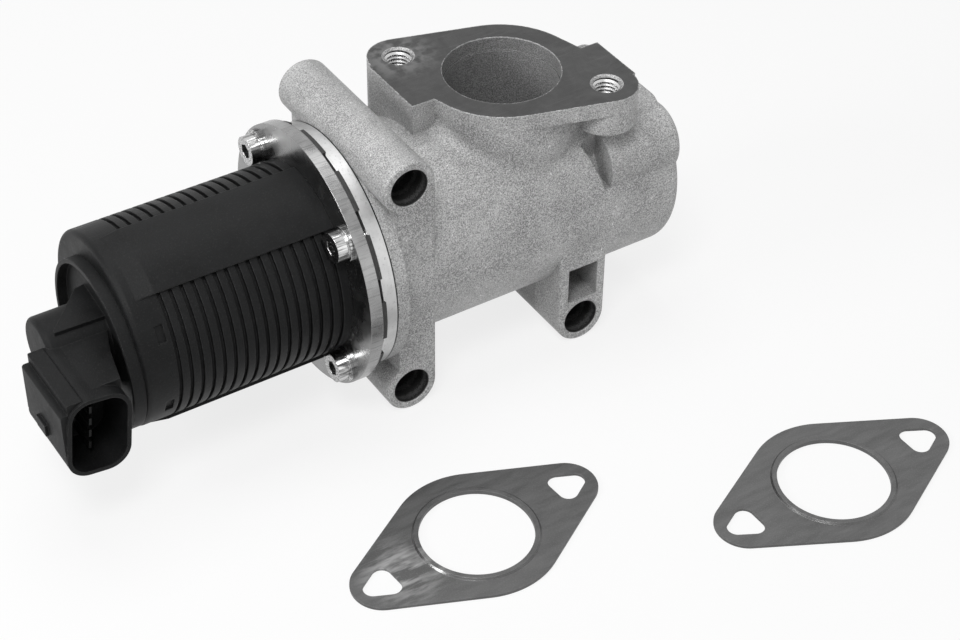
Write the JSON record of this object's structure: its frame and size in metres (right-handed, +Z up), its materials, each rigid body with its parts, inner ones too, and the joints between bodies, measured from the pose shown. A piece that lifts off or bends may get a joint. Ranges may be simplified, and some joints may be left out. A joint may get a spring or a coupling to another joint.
{
  "type": "exhaust gas recirculation valve",
  "caption": "Solenoid-driven exhaust gas valve in a cast body with top port, long bolt bosses and side connector, with loose port gaskets.",
  "frame": {"origin": "centre of the top port in the plane of its face", "axes": "+Z up out of the top port, +X along the valve axis away from the drive and connector, -Y towards the long bosses' front ends and the connector's mouth"},
  "size_m": [0.2286, 0.1793, 0.086],
  "materials": {
    "cast_aluminium": "satin",
    "machined_aluminium": "satin",
    "dark_fibre": "matte",
    "zinc_plate": "gloss",
    "black_plastic": "satin",
    "steel": "satin",
    "copper": "satin",
    "brass": "satin",
    "rubber": "matte",
    "ceramic": "matte",
    "gasket_metal": "satin"
  },
  "bodies": {
    "valve_body": {"valve_housing": "cast_aluminium", "end_plug": "steel", "valve_seat": "steel", "stem_guide": "brass", "stem_seal": "rubber", "seal_cup": "steel", "adapter_ring": "machined_aluminium", "spacer_gasket": "dark_fibre", "mounting_plate": "zinc_plate", "plate_screws": "zinc_plate", "solenoid_housing": "black_plastic", "body_seal": "rubber", "flux_shell": "steel", "rear_pole": "steel", "front_pole": "steel", "guide_sleeve": "brass", "bobbin": "black_plastic", "coil_winding": "copper", "coil_terminals": "brass", "sensor_cap": "black_plastic", "connector_pins": "brass", "cap_seal": "rubber", "track_board": "ceramic", "return_spring": "steel", "sensor_spring": "steel"},
    "pintle": {"valve_stem": "steel", "valve_poppet": "steel", "armature": "steel", "armature_nut": "steel", "sensor_plunger": "black_plastic", "wiper_carrier": "black_plastic", "wiper_contacts": "brass"},
    "front_gasket": {"gasket_front": "gasket_metal"},
    "right_gasket": {"gasket_right": "gasket_metal"}
  },
  "joints": [
    {"name": "pintle_slide", "type": "slide", "parent": "valve_body", "child": "pintle", "axis": [1, 0, 0], "range_m": [0, 0.005], "stiffness_N_per_m": 1500, "springref_m": -0.004, "deforming": ["return_spring", "sensor_spring"]},
    {"name": "front_gasket_lift", "type": "slide", "parent": "valve_body", "child": "front_gasket", "axis": [0, 0, 1], "range_m": [0, 0.03]},
    {"name": "right_gasket_lift", "type": "slide", "parent": "valve_body", "child": "right_gasket", "axis": [0, 0, 1], "range_m": [0, 0.03]}
  ]
}
